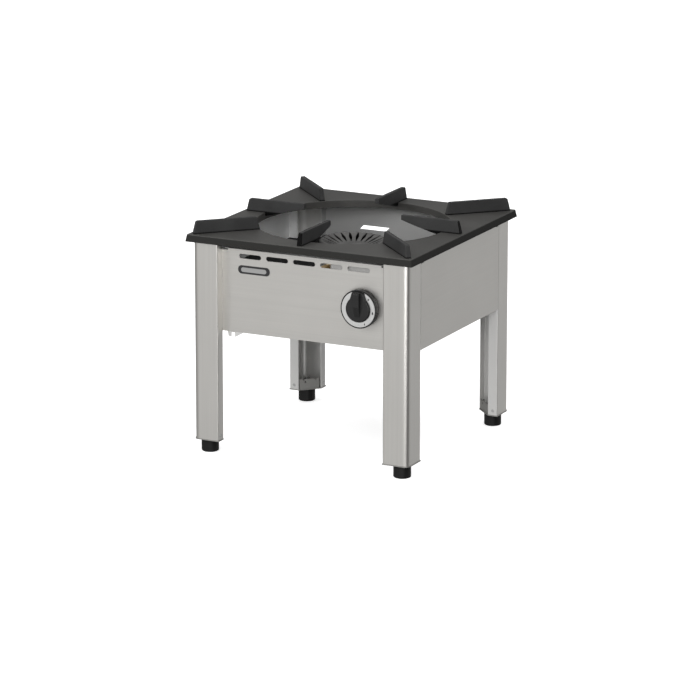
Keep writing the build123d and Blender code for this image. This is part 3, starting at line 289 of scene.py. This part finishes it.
def spun(name, tone, rough, centre):
    """Satin metal disc, brushed in fine circles round an axis that runs front to back."""
    m = Mat(name, metal=1.0, rough=rough)
    x, _, z = m.axes()
    reach = m.length(m.math("SUBTRACT", x, centre.x), m.math("SUBTRACT", z, centre.z))
    circles = m.node("ShaderNodeTexNoise", noise_dimensions="1D")
    circles.inputs["Scale"].default_value = 5200
    circles.inputs["Detail"].default_value = 3
    m.link(reach, circles.inputs["W"])
    lines = circles.outputs["Fac"]
    cloud = m.noise(90, detail=4)
    m.color(m.mottle(m.blend(lines, 0.7, cloud), tone, 0.86, 1.06))
    m.rough(m.remap(lines, 0.3, 0.7, rough - 0.05, rough + 0.08))
    m.bump(lines, 0.12, 0.0002)
    return m.mat


def moulded(name, tone, rough, grain=900, bump=0.12, spec=0.45):
    """Moulded plastic with a fine spark-eroded grain."""
    m = Mat(name, rough=rough, spec=spec)
    fine = m.noise(grain, detail=3, rough=0.6)
    cloud = m.noise(30, detail=3)
    m.color(m.mottle(cloud, tone, 0.85, 1.2))
    m.rough(m.remap(fine, 0.3, 0.7, rough - 0.05, rough + 0.05))
    m.bump(fine, bump, 0.0004)
    return m.mat


# ---------------------------------------------------------------- materials
LEVEL = (0, 0, 1)     # grain runs level, round the body
UPRIGHT = (1, 1, 0)   # grain runs up and down
STEEL = (0.585, 0.573, 0.548)
REST_BLACK = (0.044, 0.044, 0.044)

wall_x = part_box("side_panel_right")[1].x - HALF_SHEET
wall_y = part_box("rear_panel")[1].y - HALF_SHEET
front_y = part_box("burner_deck")[0].y - DECK_MARGIN
inner_box = (wall_x, -wall_y, wall_y)
side_steel = brushed("side_steel", STEEL, 0.42, LEVEL, inside=inner_box)
# painted shade: the rear panel's inside lining has a darker tone than the side panels' lining
rear_steel = brushed("rear_steel", STEEL, 0.42, LEVEL, inside=inner_box, lining=(0.46, 0.46, 0.455))
front_steel = brushed("front_steel", STEEL, 0.42, LEVEL, inside=(FAR, front_y, wall_y))
leg_steel = brushed("leg_steel", STEEL, 0.38, UPRIGHT, bump=0.04)
rear_leg_steel = brushed("rear_leg_steel", STEEL, 0.38, UPRIGHT, bump=0.04, inside=inner_box,
                         lining=(0.67, 0.665, 0.65), dull=0.65)
inner_steel = brushed("inner_steel", (0.78, 0.775, 0.76), 0.38, LEVEL, line=0.7)
bracket_steel = brushed("bracket_steel", (0.36, 0.355, 0.34), 0.55, LEVEL, line=0.7)
shield_steel = brushed("shield_steel", (0.62, 0.615, 0.60), 0.42, LEVEL, inside=(FAR, -FAR, FAR),
                       lining=(0.39, 0.385, 0.375))
badge_silver = brushed("badge_field", (0.46, 0.46, 0.455), 0.36, LEVEL, line=1.6)
zinc = turned("zinc", (0.56, 0.56, 0.55), 0.36)
brass = turned("brass", (0.74, 0.50, 0.22), 0.30)
pipe = turned("gas_pipe", (0.52, 0.52, 0.51), 0.38)
copper = turned("thin_tube", (0.72, 0.42, 0.28), 0.34)

# the top's rim is darkened as painted shade
top_enamel = enamel("top_enamel", (0.055, 0.054, 0.051), 0.50, spec=0.24,
                    shaded_rim=(PLATE_TOP - RIM_DROP, RIM_REACH))
rest_enamel = enamel("rest_enamel", REST_BLACK, 0.46, spec=0.04, wear_and_sheen_above=REST_TOP - REST_WEAR_AND_SHEEN,
                     foot=PLATE_TOP)
side_rest_enamel = enamel("side_rest_enamel", REST_BLACK, 0.46, spec=0.04,
                          wear_and_sheen_above=REST_TOP - REST_WEAR_AND_SHEEN, foot=PLATE_TOP, end=(REST_END, REST_LEAN))
deck_enamel = enamel("deck_enamel", (0.012, 0.012, 0.012), 0.55, spec=0.06)
iron = casting("burner_iron", (0.11, 0.108, 0.105), 0.55, metal=0.55, shade_cone=CROWN_CONE)
alloy = casting("bowl_alloy", (0.62, 0.62, 0.61), 0.50, metal=0.9)

ring_low, ring_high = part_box("knob_ring")
ring_middle = Vector((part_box("tap_spindle")[0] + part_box("tap_spindle")[1])) / 2
dial_silver = spun("dial_metal", (0.72, 0.72, 0.71), 0.34, ring_middle)
foot_black = moulded("foot_plastic", (0.010, 0.010, 0.010), 0.5, spec=0.2)
knob_black = moulded("knob_plastic", (0.014, 0.014, 0.014), 0.40, grain=1400, bump=0.06, spec=0.3)
badge_black = moulded("badge_face", (0.02, 0.02, 0.021), 0.30, grain=1400, bump=0.04)
print_black = moulded("dial_print", (0.03, 0.03, 0.03), 0.5, grain=2600, bump=0.03, spec=0.2)

CORNERS = ("front_left", "front_right", "rear_right", "rear_left")
dress = {
    "front_panel": front_steel, "rear_panel": rear_steel, "side_panel_left": side_steel,
    "side_panel_right": side_steel, "burner_deck": deck_enamel, "front_clip": inner_steel,
    "injector_bracket": inner_steel, "inlet_plate": inner_steel, "pilot_bracket": inner_steel,
    "foot_nuts": zinc, "foot_rivets": zinc, "burner_screws": zinc, "tap_screws": zinc, "rest_screws": zinc,
    "tap_spindle": zinc, "top_plate": top_enamel, "burner_bowl": alloy, "burner_crown": iron,
    "injector": brass, "tap_body": brass, "tap_bonnet": brass, "tap_plug": brass, "pipe_nuts": brass,
    "gas_inlet": brass, "pilot_burner": brass, "supply_pipe": pipe, "burner_pipe": pipe,
    "pilot_pipe": copper, "flame_sensor": copper, "knob": knob_black, "knob_ring": dial_silver,
    "badge_plate": badge_black,
}
for corner in CORNERS:
    dress[f"leg_{corner}"] = rear_leg_steel if "rear" in corner else leg_steel
    dress[f"foot_bracket_{corner}"] = bracket_steel
    dress[f"foot_stud_{corner}"] = zinc
    dress[f"foot_pad_{corner}"] = foot_black
    dress[f"pot_rest_{corner}"] = rest_enamel
for side in ("front", "right", "rear", "left"):
    dress[f"pot_rest_{side}"] = side_rest_enamel
for name, obj in nodes.items():
    obj.data.materials.clear()
    obj.data.materials.append(dress[name])


# ---------------------------------------------------------------- pieces made here
def add_object(name, mesh, material):
    obj = bpy.data.objects.new(name, mesh)
    scene.collection.objects.link(obj)
    mesh.materials.append(material)
    return obj


def pull_out(bm, corners, along):
    """Solid between the face with these corners and its copy a step along; gives the copy's points."""
    face = bm.faces.new([bm.verts.new(corner) for corner in corners])
    grown = bmesh.ops.extrude_face_region(bm, geom=[face])
    moved = [g for g in grown["geom"] if isinstance(g, bmesh.types.BMVert)]
    bmesh.ops.translate(bm, verts=moved, vec=along)
    return moved


def to_mesh(bm, name):
    bmesh.ops.recalc_face_normals(bm, faces=bm.faces)
    mesh = bpy.data.meshes.new(name)
    bm.to_mesh(mesh)
    bm.free()
    return mesh


def plate_mesh(name, outlines, front, thick, bevel=0.0):
    """Flat pieces on an upright surface, from outlines of (x, z) points; front is their outer face."""
    bm = bmesh.new()
    for outline in outlines:
        moved = pull_out(bm, [(x, front + thick, z) for x, z in outline], (0, -thick, 0))
        if bevel:
            edges = [e for e in bm.edges if all(v in moved for v in e.verts)]
            bmesh.ops.bevel(bm, geom=edges, offset=bevel, segments=3, profile=0.6, affect="EDGES")
    return to_mesh(bm, name)


def angle_mesh(name, sides, front, deep, foot, top, sheet):
    """Sheet folded to an L: an upright plate with a foot that runs back from it."""
    left, right = sides
    profile = [
        (front, foot), (front + deep, foot), (front + deep, foot + sheet), (front + sheet, foot + sheet),
        (front + sheet, top), (front, top),
    ]
    bm = bmesh.new()
    pull_out(bm, [(left, y, z) for y, z in profile], (right - left, 0, 0))
    return to_mesh(bm, name)


def pill(x, z, width, height, steps=14):
    """Outline with straight long sides and round ends."""
    r = height / 2
    right, left = [], []
    for i in range(steps + 1):
        a = pi * i / steps
        right.append((x + width / 2 - r + r * sin(a), z + r * cos(a)))
        left.append((x - width / 2 + r - r * sin(a), z - r * cos(a)))
    return right + left


def dot(x, z, size):
    return pill(x, z, size, size)


def star(x, z, size, points=8, waist=0.38):
    """Spark: long and short points in turn."""
    outline = []
    for i in range(2 * points):
        a, reach = pi * i / points, size * (1 if i % 2 == 0 else waist)
        outline.append((x + reach * sin(a), z + reach * cos(a)))
    return outline


def flame(x, z, size, steps=24):
    """Drop with its tip upwards."""
    outline = []
    for i in range(steps):
        a = 2 * pi * i / steps
        outline.append((x + size * 0.34 * sin(a) * sin(a / 2) ** 1.6, z + size * 0.5 * cos(a)))
    return outline


# blank field of the badge
badge_low, badge_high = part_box("badge_plate")
badge_mid = (badge_low + badge_high) / 2
field_width = (badge_high.x - badge_low.x) * FIELD_SHARE[0]
field_height = (badge_high.z - badge_low.z) * FIELD_SHARE[1]
field_outline = pill(badge_mid.x, badge_mid.z, field_width, field_height)
field_mesh = plate_mesh("badge_field", [field_outline], badge_low.y - FIELD_THICK, FIELD_THICK, FIELD_BEVEL)
field = add_object("badge_field", field_mesh, badge_silver)
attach(field, "frame")

# plate behind the two right slots, where the photo shows a light surface
deck_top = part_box("burner_deck")[1].z
panel_face, panel_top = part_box("front_panel")[0].y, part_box("front_panel")[1].z
shield_mesh = angle_mesh(
    "tap_shield", SHIELD_SIDES, front=panel_face + SHIELD_BACK, deep=SHIELD_FOOT,
    foot=deck_top + SHIELD_LIFT, top=panel_top - SHIELD_DROP, sheet=SHIELD_SHEET,
)
shield = add_object("tap_shield", shield_mesh, shield_steel)
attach(shield, "frame")

# generic marks on the knob's ring: spark, large flame, dot, small flame and dot
ring_reach = (ring_high.x - ring_low.x) / 2
mark_reach = ring_reach - MARK_INSET
marks = []
# degrees clockwise from the top, shape, size
for clock, shape, size in (
    (45, star, 0.0030), (97, flame, 0.0068), (126, dot, 0.0009), (154, flame, 0.0048), (178, dot, 0.0009),
):
    turn = radians(clock)
    marks.append(shape(ring_middle.x + mark_reach * sin(turn), ring_middle.z + mark_reach * cos(turn), size))
marks_mesh = plate_mesh("knob_marks", marks, ring_low.y - MARK_THICK, MARK_THICK)
print_marks = add_object("knob_marks", marks_mesh, print_black)
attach(print_marks, "knob")


# ---------------------------------------------------------------- floor
FLOOR_HALF = 120.0    # from the middle of the floor to its edges
FLOOR_GLOW = 0.63     # lifts the floor to the photo's white

floor_mat = Mat("floor", rough=0.9, spec=0.2)
floor_mat.color(floor_mat.mix(floor_mat.noise(3, detail=2), (0.86, 0.86, 0.86), (0.90, 0.90, 0.90)))
floor_mat.shader.inputs["Emission Color"].default_value = (1.0, 1.0, 1.0, 1.0)
floor_mat.shader.inputs["Emission Strength"].default_value = FLOOR_GLOW
floor_mesh = bpy.data.meshes.new("floor")
floor_corners = [(x * FLOOR_HALF, y * FLOOR_HALF, 0) for x, y in ((-1, -1), (1, -1), (1, 1), (-1, 1))]
floor_mesh.from_pydata(floor_corners, [], [(0, 1, 2, 3)])
floor = add_object("floor", floor_mesh, floor_mat.mat)
floor.visible_diffuse = False
floor.visible_glossy = False


# ---------------------------------------------------------------- light
def heading(azimuth, elevation=0.0):
    """Direction at an azimuth counted from the front towards the right, in degrees."""
    turn, rise = radians(azimuth), radians(elevation)
    return Vector((sin(turn) * cos(rise), -cos(turn) * cos(rise), sin(rise)))


# the room: even light with soft bright patches round the range and above it
ROOM = 0.13
# azimuth, elevation, how narrow the patch is, how bright
PATCHES = ((-24, -5, 4, 0.74), (-112, -5, 4, 0.35), (206, 12, 8, 0.05), (0, 90, 3, 1.6))

world = bpy.data.worlds.new("studio")
scene.world = world
world.use_nodes = True
sky = world.node_tree
background = sky.nodes["Background"]
background.inputs["Color"].default_value = (1.0, 1.0, 1.0, 1.0)
toward = sky.nodes.new("ShaderNodeTexCoord").outputs["Generated"]


def add_patch(total, azimuth, elevation, power, amount):
    """The room's brightness so far, a number or a socket, plus a patch round one direction."""
    product = sky.nodes.new("ShaderNodeVectorMath")
    product.operation = "DOT_PRODUCT"
    sky.links.new(toward, product.inputs[0])
    product.inputs[1].default_value = heading(azimuth, elevation)
    out = product.outputs["Value"]
    for kind, value in (("MAXIMUM", 0.0), ("POWER", power), ("MULTIPLY", amount), ("ADD", total)):
        step = sky.nodes.new("ShaderNodeMath")
        step.operation = kind
        sky.links.new(out, step.inputs[0])
        if isinstance(value, (int, float)):
            step.inputs[1].default_value = value
        else:
            sky.links.new(value, step.inputs[1])
        out = step.outputs[0]
    return out


brightness = ROOM
for patch in PATCHES:
    brightness = add_patch(brightness, *patch)
sky.links.new(brightness, background.inputs["Strength"])


def area_light(name, azimuth, distance, height, size, watts, size_y=None, target=(0, 0, 0.3),
               diffuse=True, glossy=True):
    """Softbox at an azimuth from the front, turned to the target, not itself seen.
    One without diffuse shows in reflections only, and one without glossy shows in none."""
    data = bpy.data.lights.new(name, "AREA")
    data.energy = watts
    data.size = size
    if size_y:
        data.shape = "RECTANGLE"
        data.size_y = size_y
    light = bpy.data.objects.new(name, data)
    scene.collection.objects.link(light)
    place = heading(azimuth) * distance + Vector((0, 0, height))
    light.location = place
    light.rotation_euler = (Vector(target) - place).to_track_quat("-Z", "Y").to_euler()
    light.visible_camera = False
    light.visible_diffuse = diffuse
    light.visible_glossy = glossy


area_light("key", azimuth=-36, distance=2.4, height=1.3, size=1.0, watts=16)
area_light("fill", azimuth=28, distance=2.6, height=1.5, size=1.2, watts=38, glossy=False)
area_light("strip", azimuth=27, distance=3.0, height=0.45, size=1.7, watts=42, size_y=0.8, diffuse=False)
area_light("side", azimuth=130, distance=3.0, height=0.0, size=4.6, watts=21, size_y=3.0,
           target=(0, 0, 0), diffuse=False)
area_light("rear", azimuth=192, distance=3.0, height=-0.1, size=3.2, watts=9, size_y=1.4,
           target=(0, 0, 0), diffuse=False)


# ---------------------------------------------------------------- camera, solved from the photo's edges
CAMERA_PLACE = Vector((3.6981, -7.4649, 2.3666))
CAMERA_AIM = Vector((-0.0297, 0, 0.2006))

camera_data = bpy.data.cameras.new("camera")
camera_data.lens = 224.84
camera_data.sensor_width = 36
camera_data.clip_end = 200
camera = bpy.data.objects.new("camera", camera_data)
scene.collection.objects.link(camera)
camera.location = CAMERA_PLACE
camera.rotation_euler = (CAMERA_AIM - CAMERA_PLACE).to_track_quat("-Z", "Y").to_euler()
scene.camera = camera
